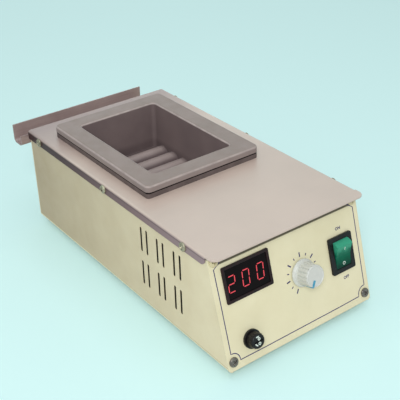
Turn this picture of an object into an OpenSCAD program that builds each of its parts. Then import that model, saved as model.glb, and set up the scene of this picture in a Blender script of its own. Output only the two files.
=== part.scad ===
// Benchtop solder pot: a sheet steel case with a leaning front panel and a cast crucible
// let into its top.
// Frame: origin on the bench under the middle of the case, front towards -Y, +Z up.

/* [Case] */
// Width of the case over its side walls
case_w = 158; // [150:1:190]
// Depth of the case from the foot of the front panel to the rear panel's face
case_d = 312; // [300:1:360]
// Height of the case from its underside to the underside of the cover
case_h = 96; // [90:1:110]
// Angle by which the front panel leans back
panel_lean = 16.2; // [8:0.2:20]
// Thickness of the case sheet
sheet = 1.2; // [0.8:0.1:1.6]
// Outer radius of the case's folded edges
bend_r = 3.5; // [2.5:0.5:5]
// Depth of the return folded under each end panel
return_len = 14; // [10:1:20]
// Width of the side walls' tabs behind the end panels
tab_w = 10; // [9:0.5:10]
// Distance of the end panels' screws from the sides of the case
panel_screw_side = 5.7; // [5.2:0.1:7]
// Distance of the end panels' lower screws from the panel's foot
panel_screw_foot = 8.2; // [7.6:0.1:10]
// Distance of the front panel's upper screws under the cover, along the panel
front_screw_drop = 6; // [5.5:0.5:8]
// Distance of the rear panel's upper screws under the cover
rear_screw_drop = 20; // [18:0.5:26]

/* [Vents] */
// Width of a side vent slot
slot_w = 2.6; // [2:0.2:3.4]
// Height of a side vent slot
slot_h = 24.2; // [16:0.2:26]
// Distance between the two slots of a pair
slot_gap = 8.2; // [7:0.1:10]
// Distance between pairs of slots
slot_pitch = 23.6; // [22:0.1:28]
// Number of pairs in a row
slot_pairs = 3; // [1:1:4]
// Distance of the middle pair from the foot of the front panel
slot_front = 90.4; // [80:0.2:110]
// Height of the lower row's middle above the underside of the case
slot_low = 33.8; // [30:0.2:36]
// Height between the two rows
slot_rise = 33.6; // [29:0.2:36]

/* [Cover] */
// Thickness of the cover sheet
cover_t = 1.2; // [0.8:0.1:1.6]
// Clearance between the cover's flanges and the case's side walls
cover_gap = 0.2; // [0.1:0.1:0.5]
// Overhang of the cover in front of the front panel
lip = 11.3; // [8:0.1:20]
// Overhang of the cover behind the rear panel
rear_lip = 1; // [0:0.5:2]
// Height of the cover's side flanges over the outside
flange_h = 8.8; // [8.6:0.1:14]
// Corner radius of the cover's front corners
cover_r = 7; // [3:0.5:10]
// Distance between the cover's screws
cover_screw_pitch = 117.6; // [105:0.2:126]
// Place of the middle pair of cover screws behind the middle of the case
cover_screw_y = 16.6; // [8:0.2:20]
// Distance of the cover's screws under its top face
cover_screw_drop = 4.7; // [4.4:0.1:5]

/* [Crucible] */
// Width of the crucible's mouth
mouth_w = 85; // [78:1:88]
// Depth of the crucible's mouth from front to rear
mouth_d = 124; // [116:1:128]
// Depth of the crucible from the rim to the floor
pot_depth = 47; // [42:1:50]
// Inward draft of each inner wall from the mouth to the floor
pot_draft = 2.5; // [2:0.5:5]
// Wall of the casting at the mouth
pot_wall = 7; // [6:0.5:8]
// Width of the rim's flat at the sides
rim_side = 18.5; // [17:0.5:19]
// Width of the rim's flat at the front and rear
rim_end = 17.5; // [16:0.5:20]
// Thickness of the rim
rim_t = 6.1; // [5:0.1:8]
// Height of the insulating collar under the rim
collar_h = 5.6; // [4:0.2:8]
// Step of the collar in from the rim's edge
collar_step = 0.6; // [0.2:0.2:3]
// Gap between the rim and its collar
rim_gap = 0.3; // [0.1:0.1:0.5]
// Sideways place of the crucible from the middle of the case
pot_x = -4.8; // [-6:0.2:2]
// Place of the crucible behind the middle of the case
pot_y = 48.5; // [44:0.5:52]

/* [Heating] */
// Number of cartridge heaters under the floor
heater_n = 6; // [3:1:6]
// Distance between the heaters
heater_pitch = 18; // [16.5:0.5:19]
// Diameter of a heater
heater_d = 10; // [8:0.5:10.5]
// Outer radius of the half-round ridge cast over each heater
ridge_r = 8; // [7:0.5:8.5]
// Depth of the heaters' axes under the floor
heater_drop = 2.5; // [1:0.5:3.5]
// Clearance round a heater in its bore
heater_gap = 0.1; // [0.05:0.05:0.2]
// Thickness of the mineral fibre jacket
jacket_t = 11; // [8:1:12]
// Thickness of the heat shield's sheet
shield_t = 0.8; // [0.6:0.1:1]
// Diameter of the temperature probe
probe_d = 3; // [2:0.5:4]

/* [Controls] */
// Place of the display left of the middle
display_x = -45; // [-46:0.1:-42]
// Height of the display's middle above the foot of the panel, along the panel
display_up = 71.1; // [66:0.1:73]
// Width of the display's bezel
display_w = 46.9; // [42:0.1:47.5]
// Height of the display's bezel
display_h = 31; // [24:0.2:32]
// Place of the knob right of the middle
knob_x = 9.5; // [7:0.5:12]
// Height of the knob's axis above the foot of the panel, along the panel
knob_up = 52.5; // [48:0.5:56]
// Diameter of the knob's skirt
knob_d = 24; // [22:0.5:28]
// Diameter of the knob's fluted grip
grip_d = 19.6; // [18:0.2:21]
// Height of the knob
knob_h = 15.8; // [13:0.1:18]
// Diameter of the regulator's shaft
shaft_d = 6; // [5:0.5:6]
// Running clearance round turning parts
run_gap = 0.06; // [0.03:0.01:0.1]
// Place of the power switch right of the middle
switch_x = 53.5; // [50:0.1:54]
// Height of the power switch's middle above the foot of the panel, along the panel
switch_up = 53.1; // [48:0.1:56]
// Width of the switch's bezel
switch_w = 26; // [24:0.2:27]
// Height of the switch's bezel
switch_h = 32.8; // [31:0.2:34]
// Width of the rocker
rocker_w = 16.6; // [15:0.2:17]
// Radius of the rocker about its pivot
rocker_r = 13; // [12:0.1:13.6]
// Angle of the rocker either side of its middle
rocker_tilt = 15; // [10:0.5:16]
// Place of the fuse holder left of the middle
fuse_x = -52.4; // [-54:0.1:-48]
// Height of the fuse holder's axis above the foot of the panel, along the panel
fuse_up = 19.8; // [19:0.1:24]
// Diameter of the fuse holder's flange
fuse_d = 16.2; // [15:0.1:17]

/* [Trough] */
// Length of the dross trough
trough_l = 150; // [120:1:158]
// Depth of the trough from front to rear
trough_d = 16; // [14:0.5:22]
// Height of the trough's rear wall
trough_h = 18; // [15:0.5:20]
// Height of the trough's front wall
trough_front = 11; // [8:0.5:13]
// Sideways place of the trough where it was left
trough_x = -13.5; // [-16:0.5:0]
// Rise of the trough's rear wall above the cover
trough_rise = 2.6; // [1:0.1:5]

/* [Feet] */
// Height of the rubber feet
foot_h = 7; // [5:0.5:12]
// Diameter of the feet at the bench
foot_d = 16; // [14:0.5:20]
// Distance of the feet's middles from the sides of the case
foot_side = 22; // [18:1:30]
// Distance of the feet's middles from the front and the rear of the case
foot_end = 28; // [25:1:40]

/* [Hidden] */
$fn = 48;
eps = 0.01;

zb = foot_h;
zt = zb + case_h;
z_top = zt + cover_t;
yf = -case_d / 2;
yr = case_d / 2;
panel_len = case_h / cos(panel_lean);
panel_back = case_h * tan(panel_lean);
yt = yf + panel_back;
wall_drop = 0.6;
corner_relief = 1;
wall_x = case_w / 2;
cover_x = wall_x + cover_gap + cover_t;

rim_top = z_top + collar_h + rim_gap + rim_t;
floor_z = rim_top - pot_depth;
heater_z = floor_z - heater_drop;
pot_bottom = heater_z - heater_d / 2 - 4.5;
rim_w = mouth_w + 2 * rim_side;
rim_d = mouth_d + 2 * rim_end;
body_w = mouth_w + 2 * pot_wall;
body_d = mouth_d + 2 * pot_wall;
hole_w = body_w + 6;
hole_d = body_d + 6;
jacket_gap = 1;
jacket_w = body_w + 2 * (jacket_gap + jacket_t);
jacket_d = body_d + 2 * (jacket_gap + jacket_t);
jacket_top = zt - 0.3;
jacket_bottom = pot_bottom - 0.3 - jacket_t;
shield_w = jacket_w + 2 * (0.3 + shield_t);
shield_d = jacket_d + 2 * (0.3 + shield_t);
shield_bottom = jacket_bottom - 0.3 - shield_t;
heater_out = shield_w / 2 + 4;

screw_d = 4;
screw_gap = 0.1;
head_d = 8;
head_h = 2.6;
flange_r = 5;
inlet_screw_x = 20;
rear_vent_x = -38;
rear_vent_pitch = 9.3;
bracket_w = case_w - 38;
bracket_d = 18;
bracket_in = 20;
bracket_t = 1.5;

display_depth = 16;
display_body_w = display_w - 3;
display_body_h = display_h - 3;
window_w = display_w - 5;
window_h = display_h - 5;
display_t = 1.2;
lens_in = 0.6;
lens_t = 2;
digit_in = lens_in + lens_t + 0.4 - display_t;
digit_pitch = window_w * 0.337;
board_t = 1.6;

switch_body_w = switch_w - 3.8;
switch_body_h = switch_h - 2.8;
pivot_in = 2.8;
bezel_t = 2;
well_gap = 0.35;
trunnion_d = 3;

panel_gap = 0.2;
bush_d = 7;
bush_out = 3.8;
fuse_body_d = 12.4;
fuse_cap_out = 2.3;

ctrl_w = 100;
ctrl_d = 54;
ctrl_x = -8;
ctrl_y = yf + 70;
pillar_h = 8;
board_z = zb + sheet + pillar_h;

inlet_x = 38;
blade_t = 2;
blade_h = 4;
inlet_z = zb + 21;
stud_x = 6;

trough_t = 1;
trough_z1 = z_top + trough_rise;
trough_z0 = trough_z1 - trough_h;
trough_y0 = yr + rear_lip + 0.6;
rail_t = 1.2;
rail_l = 110;

function pair_y(i) = yf + slot_front + (i - (slot_pairs - 1) / 2) * slot_pitch;
function heater_y(i) = pot_y + (i - (heater_n - 1) / 2) * heater_pitch;

// ---- shared shapes ----

// Rectangle with four round corners
module rrect(w, d, r) {
    square([w - 2 * r, d], center = true);
    square([w, d - 2 * r], center = true);
    for (x = [-1, 1], y = [-1, 1])
        translate([x * (w / 2 - r), y * (d / 2 - r)])
            circle(r);
}

// Upright rectangle on the X axis with round lower corners
module tub(w, h, r) {
    translate([-w / 2 + r, 0])
        square([w - 2 * r, h]);
    translate([-w / 2, r])
        square([w, h - r]);
    for (x = [-1, 1])
        translate([x * (w / 2 - r), r])
            circle(r);
}

// Run a profile drawn in Y and Z along X over the width w
module along_x(w) {
    rotate([90, 0, 90])
        translate([0, 0, -w / 2])
            linear_extrude(w)
                children();
}

// Run a profile drawn in X and Z from the plane y = y0 back to y = y1
module along_y(y0, y1) {
    translate([0, y1, 0])
        rotate([90, 0, 0])
            linear_extrude(y1 - y0)
                children();
}

// Upright slot with round ends
module slot(w, h) {
    square([w, h - w], center = true);
    for (e = [-1, 1])
        translate([0, e * (h - w) / 2])
            circle(d = w, $fn = 20);
}

// Bore through a panel at y = 0, reaching the given distance to either side
module panel_hole(d, reach) {
    rotate([90, 0, 0])
        cylinder(d = d, h = 2 * reach, center = true);
}

// Pan head screw with its seat at the origin, head towards +Z, shank down
module pan_screw(d, hd, hh, len) {
    translate([0, 0, -len])
        cylinder(d = d, h = len);
    rotate_extrude()
        polygon([[0, 0], [hd / 2, 0], [hd / 2, hh * 0.4], [hd * 0.42, hh * 0.75],
            [hd * 0.28, hh * 0.95], [hd * 0.12, hh], [0, hh]]);
}

// A place on the front panel: x from the middle and up from its foot, with the panel's face
// at y = 0 for the children and its outward side towards -Y
module at_panel(x = 0, up = 0) {
    translate([0, yf, zb])
        rotate([-panel_lean, 0, 0])
            translate([x, 0, up])
                children();
}

// Places of the front panel's four screws
module at_front_screws() {
    for (x = [-1, 1], up = [panel_screw_foot, panel_len - front_screw_drop])
        at_panel(x * (wall_x - panel_screw_side), up)
            children();
}

// Places of the rear panel's four screws
module at_rear_screws() {
    for (x = [-1, 1], z = [zb + panel_screw_foot, zt - rear_screw_drop])
        translate([x * (wall_x - panel_screw_side), yr, z])
            children();
}

// ---- case ----

module chassis() {
    tab_x = wall_x - sheet / 4 - tab_w / 2;
    tab_foot = foot_of(panel_lean) + 0.2;
    color([0.86, 0.85, 0.72])
        difference() {
            union() {
                // floor and side walls, their front edges following the front panel
                difference() {
                    along_y(yf, yr - sheet)
                        translate([0, zb])
                            difference() {
                                tub(case_w, case_h - wall_drop, bend_r);
                                translate([0, sheet])
                                    tub(case_w - 2 * sheet, case_h, bend_r - sheet);
                            }
                    at_panel()
                        translate([-case_w, sheet - case_d, -case_h])
                            cube([2 * case_w, case_d, 3 * case_h]);
                }
                // tabs that take the end panels' screws
                for (s = [-1, 1]) {
                    at_panel(s * tab_x)
                        along_y(sheet, 2 * sheet)
                            translate([-tab_w / 2, tab_foot])
                                square([tab_w, panel_len - 1.5 - tab_foot]);
                    translate([s * tab_x, 0, zb + bend_r])
                        along_y(yr - 2 * sheet, yr - sheet)
                            translate([-tab_w / 2, 0])
                                square([tab_w, case_h - bend_r - 1]);
                }
            }
            // room for the end panels' returns
            for (e = [-1, 1])
                translate([0, e * (yr - return_len / 2), zb])
                    cube([case_w - 2 * bend_r, return_len, 3 * sheet], center = true);
            // side vents
            for (i = [0 : slot_pairs - 1], k = [-0.5, 0.5], row = [0, 1])
                translate([0, pair_y(i) + k * slot_gap, zb + slot_low + row * slot_rise])
                    along_x(case_w + 10)
                        slot(slot_w, slot_h);
            // screws of the panels, the cover, the feet, the pillars and the stud
            at_front_screws()
                panel_hole(screw_d + screw_gap, 4 * sheet);
            at_rear_screws()
                panel_hole(screw_d + screw_gap, 4 * sheet);
            at_cover_screws()
                cylinder(d = screw_d + screw_gap, h = 8, center = true);
            at_feet()
                cylinder(d = screw_d + screw_gap, h = 40, center = true);
            at_pillars()
                cylinder(d = 3 + screw_gap, h = 40, center = true);
            translate([stud_x, stud_y, zb])
                cylinder(d = screw_d + screw_gap, h = 10, center = true);
            // bottom vents under the heat shield
            for (i = [-3 : 3])
                translate([i * 12, pot_y, zb])
                    linear_extrude(4 * sheet, center = true)
                        slot(3, mouth_d * 0.58);
        }
}

// Length that a fold of the bend radius takes from the foot of a panel leaning by that angle
function foot_of(lean) = bend_r * (1 + sin(lean)) / cos(lean);

// End panel in the front one's place: a face leaning back by the given angle, its lower edge
// folded under the case and returned along the floor
module end_panel_blank(lean) {
    ret_w = case_w - 2 * bend_r - 0.6;
    len = case_h / cos(lean);
    foot = foot_of(lean);
    // face, with its upper corners relieved for the cover's bends and slits beside the fold
    translate([0, yf, zb])
        rotate([-lean, 0, 0])
            along_y(0, sheet)
                difference() {
                    union() {
                        tub(case_w, len - corner_relief, bend_r);
                        translate([corner_relief - wall_x, foot])
                            square([case_w - 2 * corner_relief, len - foot]);
                    }
                    translate([-ret_w / 2 - 0.2, -1])
                        square([ret_w + 0.4, foot + 1]);
                }
    // folded lower edge and its return
    along_x(ret_w)
        translate([yf + foot, zb + bend_r]) {
            intersection() {
                difference() {
                    circle(bend_r);
                    circle(bend_r - sheet);
                }
                polygon([[0, 0], [0, -3 * bend_r], [-3 * bend_r, -3 * bend_r],
                    [-3 * bend_r * cos(lean), 3 * bend_r * sin(lean)]]);
            }
            translate([0, -bend_r])
                square([return_len - foot - 0.3, sheet]);
        }
}

module front_panel() {
    color([0.89, 0.88, 0.75])
        difference() {
            end_panel_blank(panel_lean);
            at_front_screws()
                panel_hole(screw_d + 0.4, 2 * sheet);
            at_panel(display_x, display_up)
                cube([display_body_w + 2 * panel_gap, 4 * sheet, display_body_h + 2 * panel_gap],
                    center = true);
            at_panel(knob_x, knob_up)
                panel_hole(bush_d + panel_gap, 2 * sheet);
            at_panel(switch_x, switch_up)
                cube([switch_body_w + 2 * panel_gap, 4 * sheet, switch_body_h + 2 * panel_gap],
                    center = true);
            at_panel(fuse_x, fuse_up)
                panel_hole(fuse_body_d + panel_gap, 2 * sheet);
        }
}

module rear_panel() {
    color([0.86, 0.85, 0.72])
        difference() {
            mirror([0, 1, 0])
                end_panel_blank(0);
            at_rear_screws()
                panel_hole(screw_d + 0.4, 2 * sheet);
            translate([inlet_x, yr, inlet_z])
                cube([28, 4 * sheet, 20.4], center = true);
            for (s = [-1, 1])
                translate([inlet_x + s * inlet_screw_x, yr, inlet_z])
                    panel_hole(3.4, 2 * sheet);
            at_rail_screws()
                panel_hole(3 + screw_gap, 2 * sheet);
            for (i = [-2 : 2])
                translate([rear_vent_x + i * rear_vent_pitch, yr, zb + slot_low])
                    along_y(-3 * sheet, 3 * sheet)
                        slot(slot_w, slot_h);
        }
}

// Places of the cover's screws, for children drawn with their axis along +Z outwards
module at_cover_screws() {
    for (s = [-1, 1], k = [-1, 0, 1])
        translate([s * (wall_x + cover_gap), cover_screw_y + k * cover_screw_pitch,
            z_top - cover_screw_drop])
            rotate([0, s * 90, 0])
                children();
}

module top_cover() {
    y1 = yr + rear_lip;
    color([0.74, 0.71, 0.69])
        difference() {
            union() {
                // top and side flanges, folded down
                along_y(yt, y1)
                    translate([0, z_top])
                        mirror([0, 1])
                            difference() {
                                tub(2 * cover_x, flange_h, 2);
                                translate([0, cover_t])
                                    tub(2 * (cover_x - cover_t), flange_h, 2 - cover_t);
                            }
                // flat lip over the front panel
                translate([0, 0, zt])
                    linear_extrude(cover_t)
                        difference() {
                            translate([0, yt - lip / 2 + 5])
                                rrect(2 * cover_x, lip + 10, cover_r);
                            translate([0, yt + 10 + eps])
                                square([2 * cover_x + 2, 20 - 2 * eps], center = true);
                        }
            }
            // window for the crucible
            translate([pot_x, pot_y, zt - 1])
                linear_extrude(cover_t + 2)
                    rrect(hole_w, hole_d, 6);
            at_cover_screws()
                cylinder(d = screw_d + 0.4, h = 8, center = true);
            // round the flanges' front lower corners
            along_x(2 * cover_x + 10)
                translate([yt, z_top - flange_h])
                    difference() {
                        translate([-1, -1])
                            square(flange_r + 1);
                        translate([flange_r, flange_r])
                            circle(flange_r);
                    }
        }
}

// ---- crucible ----

module crucible() {
    color([0.55, 0.51, 0.49])
        translate([pot_x, pot_y, 0])
            difference() {
                union() {
                    difference() {
                        union() {
                            // rim with softened top edges
                            hull() {
                                translate([0, 0, rim_top - rim_t])
                                    linear_extrude(rim_t - 1.6)
                                        rrect(rim_w, rim_d, 5, $fn = 32);
                                translate([0, 0, rim_top - 0.5])
                                    linear_extrude(0.1)
                                        rrect(rim_w - 1.1, rim_d - 1.1, 4.4, $fn = 32);
                                translate([0, 0, rim_top - 0.1])
                                    linear_extrude(0.1)
                                        rrect(rim_w - 3, rim_d - 3, 3.5, $fn = 32);
                            }
                            // drafted body
                            hull() {
                                translate([0, 0, rim_top - rim_t])
                                    linear_extrude(0.1)
                                        rrect(body_w, body_d, 9, $fn = 32);
                                translate([0, 0, pot_bottom])
                                    linear_extrude(0.1)
                                        rrect(body_w - 2 * pot_draft, body_d - 2 * pot_draft,
                                            8, $fn = 32);
                            }
                        }
                        // drafted hollow
                        hull() {
                            translate([0, 0, rim_top])
                                linear_extrude(0.1)
                                    rrect(mouth_w, mouth_d, 4, $fn = 32);
                            translate([0, 0, floor_z])
                                linear_extrude(0.1)
                                    rrect(mouth_w - 2 * pot_draft, mouth_d - 2 * pot_draft,
                                        4, $fn = 32);
                        }
                        // eased edge of the mouth
                        hull() {
                            translate([0, 0, rim_top + 0.1])
                                linear_extrude(0.1)
                                    rrect(mouth_w + 3, mouth_d + 3, 5.5, $fn = 32);
                            translate([0, 0, rim_top - 1.2])
                                linear_extrude(0.1)
                                    rrect(mouth_w - 0.4, mouth_d - 0.4, 4, $fn = 32);
                        }
                    }
                    // half-round ridges cast over the heaters
                    for (i = [0 : heater_n - 1])
                        translate([0, heater_y(i) - pot_y, heater_z])
                            rotate([0, 90, 0])
                                cylinder(r = ridge_r, h = mouth_w - 2 * pot_draft + 5,
                                    center = true);
                }
                for (i = [0 : heater_n - 1])
                    translate([-body_w / 2 + pot_draft + 2, heater_y(i) - pot_y, heater_z])
                        rotate([0, 90, 0])
                            cylinder(d = heater_d + heater_gap, h = body_w);
                translate([-body_w, probe_y - pot_y, probe_z])
                    rotate([0, 90, 0])
                        cylinder(d = probe_d + heater_gap, h = body_w - 12);
            }
}

module rim_collar() {
    color([0.36, 0.32, 0.31])
        translate([pot_x, pot_y, z_top])
            linear_extrude(collar_h)
                difference() {
                    rrect(rim_w - 2 * collar_step, rim_d - 2 * collar_step, 4);
                    rrect(hole_w, hole_d, 6);
                }
}

module heater(i) {
    if (i < heater_n)
        color([0.72, 0.72, 0.74])
            translate([pot_x - body_w / 2 + pot_draft + 2.3, heater_y(i), heater_z])
                rotate([0, 90, 0]) {
                    cylinder(d = heater_d, h = heater_out + body_w / 2 - pot_draft - 2.3);
                    translate([0, 0, heater_out + body_w / 2 - pot_draft - 2.3 - eps])
                        cylinder(d = heater_d - 4, h = 3);
                }
}

probe_y = pot_y - heater_pitch / 2 * (heater_n % 2 == 1 ? 1 : 2);
probe_z = floor_z - 6;

module temperature_probe() {
    color([0.75, 0.75, 0.77])
        translate([pot_x - 12.3, probe_y, probe_z])
            rotate([0, -90, 0]) {
                cylinder(d = probe_d, h = shield_w / 2 - 12.3 + 4);
                translate([0, 0, shield_w / 2 - 12.3 + 1.2])
                    cylinder(d = probe_d + 3, h = 3);
            }
}

module fibre_jacket() {
    color([0.93, 0.92, 0.88])
        translate([pot_x, pot_y, 0])
            difference() {
                translate([0, 0, jacket_bottom])
                    linear_extrude(jacket_top - jacket_bottom)
                        rrect(jacket_w, jacket_d, 6);
                translate([0, 0, jacket_bottom + jacket_t])
                    linear_extrude(case_h)
                        rrect(body_w + 2 * jacket_gap, body_d + 2 * jacket_gap, 6);
                for (i = [0 : heater_n - 1])
                    translate([0, heater_y(i) - pot_y, heater_z])
                        rotate([0, 90, 0])
                            cylinder(d = heater_d + 1, h = jacket_w);
                translate([-jacket_w, probe_y - pot_y, probe_z])
                    rotate([0, 90, 0])
                        cylinder(d = probe_d + 1, h = jacket_w);
            }
}

module heat_shield() {
    color([0.78, 0.78, 0.79])
        translate([pot_x, pot_y, 0])
            difference() {
                translate([0, 0, shield_bottom])
                    linear_extrude(jacket_top - shield_bottom)
                        rrect(shield_w, shield_d, 6.5);
                translate([0, 0, shield_bottom + shield_t])
                    linear_extrude(case_h)
                        rrect(shield_w - 2 * shield_t, shield_d - 2 * shield_t, 6.2);
                for (i = [0 : heater_n - 1])
                    translate([0, heater_y(i) - pot_y, heater_z])
                        rotate([0, 90, 0])
                            cylinder(d = heater_d + 2, h = shield_w);
                translate([-shield_w, probe_y - pot_y, probe_z])
                    rotate([0, 90, 0])
                        cylinder(d = probe_d + 1, h = shield_w);
            }
}

// Cross member under the heat shield: a hat section standing on the case floor
module shield_bracket(y) {
    h = shield_bottom - 0.3 - (zb + sheet);
    color([0.7, 0.7, 0.72])
        translate([0, y, zb + sheet])
            along_y(-bracket_d / 2, bracket_d / 2)
                difference() {
                    union() {
                        translate([-bracket_w / 2, 0])
                            square([bracket_w, h]);
                        translate([-bracket_w / 2 - 10, 0])
                            square([bracket_w + 20, bracket_t]);
                    }
                    translate([bracket_t - bracket_w / 2, -1])
                        square([bracket_w - 2 * bracket_t, h - bracket_t + 1]);
                }
}

module shield_bracket_front() {
    shield_bracket(pot_y - body_d / 2 + bracket_in);
}

module shield_bracket_rear() {
    shield_bracket(pot_y + body_d / 2 - bracket_in);
}

// ---- display ----

module display_bezel() {
    color([0.09, 0.07, 0.08])
        at_panel(display_x, display_up)
            difference() {
                union() {
                    along_y(-display_t, 0)
                        rrect(display_w, display_h, 1.2, $fn = 24);
                    along_y(-eps, display_depth)
                        square([display_body_w, display_body_h], center = true);
                }
                along_y(-2 * display_t, display_depth + 1)
                    square([window_w, window_h], center = true);
            }
}

module display_lens() {
    color([0.28, 0.02, 0.04])
        at_panel(display_x, display_up)
            along_y(lens_in - display_t, lens_in + lens_t - display_t)
                square([window_w - 0.2, window_h - 0.2], center = true);
}

module display_board() {
    board_in = display_depth - 6.4;
    color([0.12, 0.12, 0.13])
        at_panel(display_x, display_up) {
            along_y(board_in, board_in + board_t)
                square([window_w - 0.4, window_h - 0.4], center = true);
            for (i = [-1, 0, 1])
                translate([i * digit_pitch, 0])
                    along_y(digit_in, board_in + eps)
                        square([digit_pitch - 1.5, window_h * 0.73], center = true);
        }
}

// ---- heat regulator and knob ----

module regulator_body() {
    color([0.62, 0.6, 0.5])
        at_panel(knob_x, knob_up)
            rotate([90, 0, 0])
                difference() {
                    union() {
                        translate([0, 0, -sheet - 9.5])
                            cylinder(d = 17, h = 9.3);
                        translate([0, 0, -sheet - 4])
                            cylinder(d = bush_d, h = sheet + 4 + bush_out);
                        translate([-6, -14.5, -sheet - 8])
                            cube([12, 10, 1.2]);
                    }
                    translate([0, 0, -sheet - 6])
                        cylinder(d = shaft_d + 2 * run_gap, h = 30);
                }
}

module regulator_nut() {
    color([0.75, 0.75, 0.77])
        at_panel(knob_x, knob_up)
            rotate([90, 0, 0])
                difference() {
                    union() {
                        cylinder(d = 12, h = 0.6);
                        translate([0, 0, 0.6 - eps])
                            cylinder(d = 11, h = 2 + eps, $fn = 6);
                    }
                    translate([0, 0, -1])
                        cylinder(d = bush_d + 0.2, h = 6);
                }
}

module regulator_shaft() {
    color([0.7, 0.7, 0.72])
        at_panel(knob_x, knob_up)
            rotate([90, 0, 0])
                translate([0, 0, -sheet - 5.7])
                    cylinder(d = shaft_d, h = sheet + 5.7 + knob_h - 1.5);
}

knob_off = 0.7;
knob_cavity = 3.6;
flutes = 30;

module heat_knob() {
    r0 = knob_d / 2;
    r1 = grip_d / 2;
    color([0.87, 0.87, 0.85])
        at_panel(knob_x, knob_up)
            rotate([90, 0, 0])
                translate([0, 0, knob_off])
                    difference() {
                        rotate_extrude($fn = 96)
                            polygon([[shaft_d / 2 + 0.02, knob_cavity], [7.5, knob_cavity],
                                [7.5, 0], [r0 - 0.3, 0], [r0, 0.4], [r0 - 0.1, 1.2],
                                [r0 - 0.9, 2.2], [r1 + 0.6, 3.2], [r1, 4.2],
                                [r1 - 0.35, knob_h - 1.1], [r1 - 0.7, knob_h - 0.3],
                                [r1 - 1.4, knob_h], [0, knob_h], [0, knob_h - 2],
                                [shaft_d / 2 + 0.02, knob_h - 2]]);
                        // grip flutes
                        for (i = [0 : flutes - 1])
                            rotate([0, 0, (i + 0.5) * 360 / flutes])
                                translate([r1 + 0.3, 0, 3.4])
                                    cylinder(r = 0.7, h = knob_h - 4.6, $fn = 16);
                    }
}

// ---- power switch ----

module switch_housing() {
    color([0.1, 0.09, 0.09])
        at_panel(switch_x, switch_up)
            difference() {
                union() {
                    along_y(-bezel_t, 0)
                        rrect(switch_w, switch_h, 1.6, $fn = 24);
                    along_y(-eps, 20)
                        square([switch_body_w, switch_body_h], center = true);
                }
                // well for the rocker
                along_y(-bezel_t - 1, pivot_in)
                    square([rocker_w + 0.6, rocker_r * 1.92], center = true);
                along_x(rocker_w + 0.6)
                    translate([pivot_in, 0])
                        circle(rocker_r + well_gap, $fn = 96);
                // bearing holes for the rocker's trunnions
                translate([0, pivot_in, 0])
                    rotate([0, 90, 0])
                        cylinder(d = trunnion_d + 2 * run_gap, h = rocker_w + 2.4,
                            center = true);
            }
}

module switch_rocker() {
    k = rocker_r;
    color([0.0, 0.42, 0.33])
        at_panel(switch_x, switch_up)
            translate([0, pivot_in, 0])
                rotate([rocker_tilt, 0, 0]) {
                    along_x(rocker_w)
                        intersection() {
                            circle(k, $fn = 96);
                            polygon([[0.24 * k, -0.9 * k], [0.24 * k, 0.9 * k],
                                [-0.2 * k, 1.02 * k], [-0.6 * k, k], [-0.47 * k, 0.16 * k],
                                [-0.455 * k, 0], [-0.47 * k, -0.16 * k], [-0.6 * k, -k],
                                [-0.2 * k, -1.02 * k]]);
                        }
                    rotate([0, 90, 0])
                        cylinder(d = trunnion_d, h = rocker_w + 1.8, center = true);
                }
}

module switch_tabs() {
    color([0.8, 0.68, 0.35])
        at_panel(switch_x, switch_up)
            for (x = [-1, 1], z = [-1, 0, 1])
                translate([x * 5, 20 + 4, z * 8])
                    cube([4.8, 8, 0.8], center = true);
}

// ---- fuse ----

module fuse_holder() {
    color([0.1, 0.09, 0.09])
        at_panel(fuse_x, fuse_up)
            rotate([90, 0, 0])
                difference() {
                    union() {
                        cylinder(d = fuse_d, h = 2);
                        translate([0, 0, -30])
                            cylinder(d = fuse_body_d, h = 30 + eps);
                    }
                    translate([0, 0, -27.5])
                        cylinder(d = 9.4, h = 40);
                }
}

module fuse_nut() {
    color([0.12, 0.11, 0.11])
        at_panel(fuse_x, fuse_up)
            translate([0, sheet, 0])
                rotate([-90, 0, 0])
                    difference() {
                        cylinder(d = 17, h = 4, $fn = 6);
                        translate([0, 0, -1])
                            cylinder(d = fuse_body_d + 0.2, h = 6);
                    }
}

module fuse_cap() {
    color([0.08, 0.07, 0.07])
        at_panel(fuse_x, fuse_up)
            rotate([90, 0, 0])
                translate([0, 0, fuse_cap_out])
                    difference() {
                        union() {
                            rotate_extrude()
                                polygon([[0, 0], [6.6, 0], [6.6, 1.2], [6.3, 6], [6.0, 6.8],
                                    [5.6, 7.2], [0, 7.2]]);
                            translate([0, 0, -9])
                                cylinder(d = 9.2, h = 9 + eps);
                            for (a = [0 : 20 : 340])
                                rotate([0, 0, a])
                                    translate([6.2, 0, 1.2])
                                        cylinder(r = 0.5, h = 4.6, $fn = 16);
                        }
                        // socket that grips the fuse's end
                        translate([0, 0, -10])
                            cylinder(d = 5.3, h = 8);
                        // screwdriver slot
                        translate([0, 0, 7.2])
                            cube([8.4, 1.4, 2.4], center = true);
                    }
}

module glass_fuse() {
    color([0.8, 0.82, 0.82])
        at_panel(fuse_x, fuse_up)
            rotate([90, 0, 0])
                translate([0, 0, fuse_cap_out - 22.3])
                    union() {
                        cylinder(d = 5.2, h = 5);
                        translate([0, 0, 15])
                            cylinder(d = 5.2, h = 5);
                        translate([0, 0, 5 - eps])
                            cylinder(d = 4.9, h = 10 + 2 * eps);
                    }
}

// ---- control electronics ----

module at_pillars() {
    for (x = [-1, 1], y = [-1, 1])
        translate([ctrl_x + x * (ctrl_w / 2 - 5), ctrl_y + y * (ctrl_d / 2 - 5), zb + sheet])
            children();
}

module control_board() {
    color([0.13, 0.38, 0.2])
        difference() {
            translate([ctrl_x, ctrl_y, board_z + board_t / 2])
                cube([ctrl_w, ctrl_d, board_t], center = true);
            at_pillars()
                cylinder(d = 3.2, h = 40, center = true);
        }
}

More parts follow.
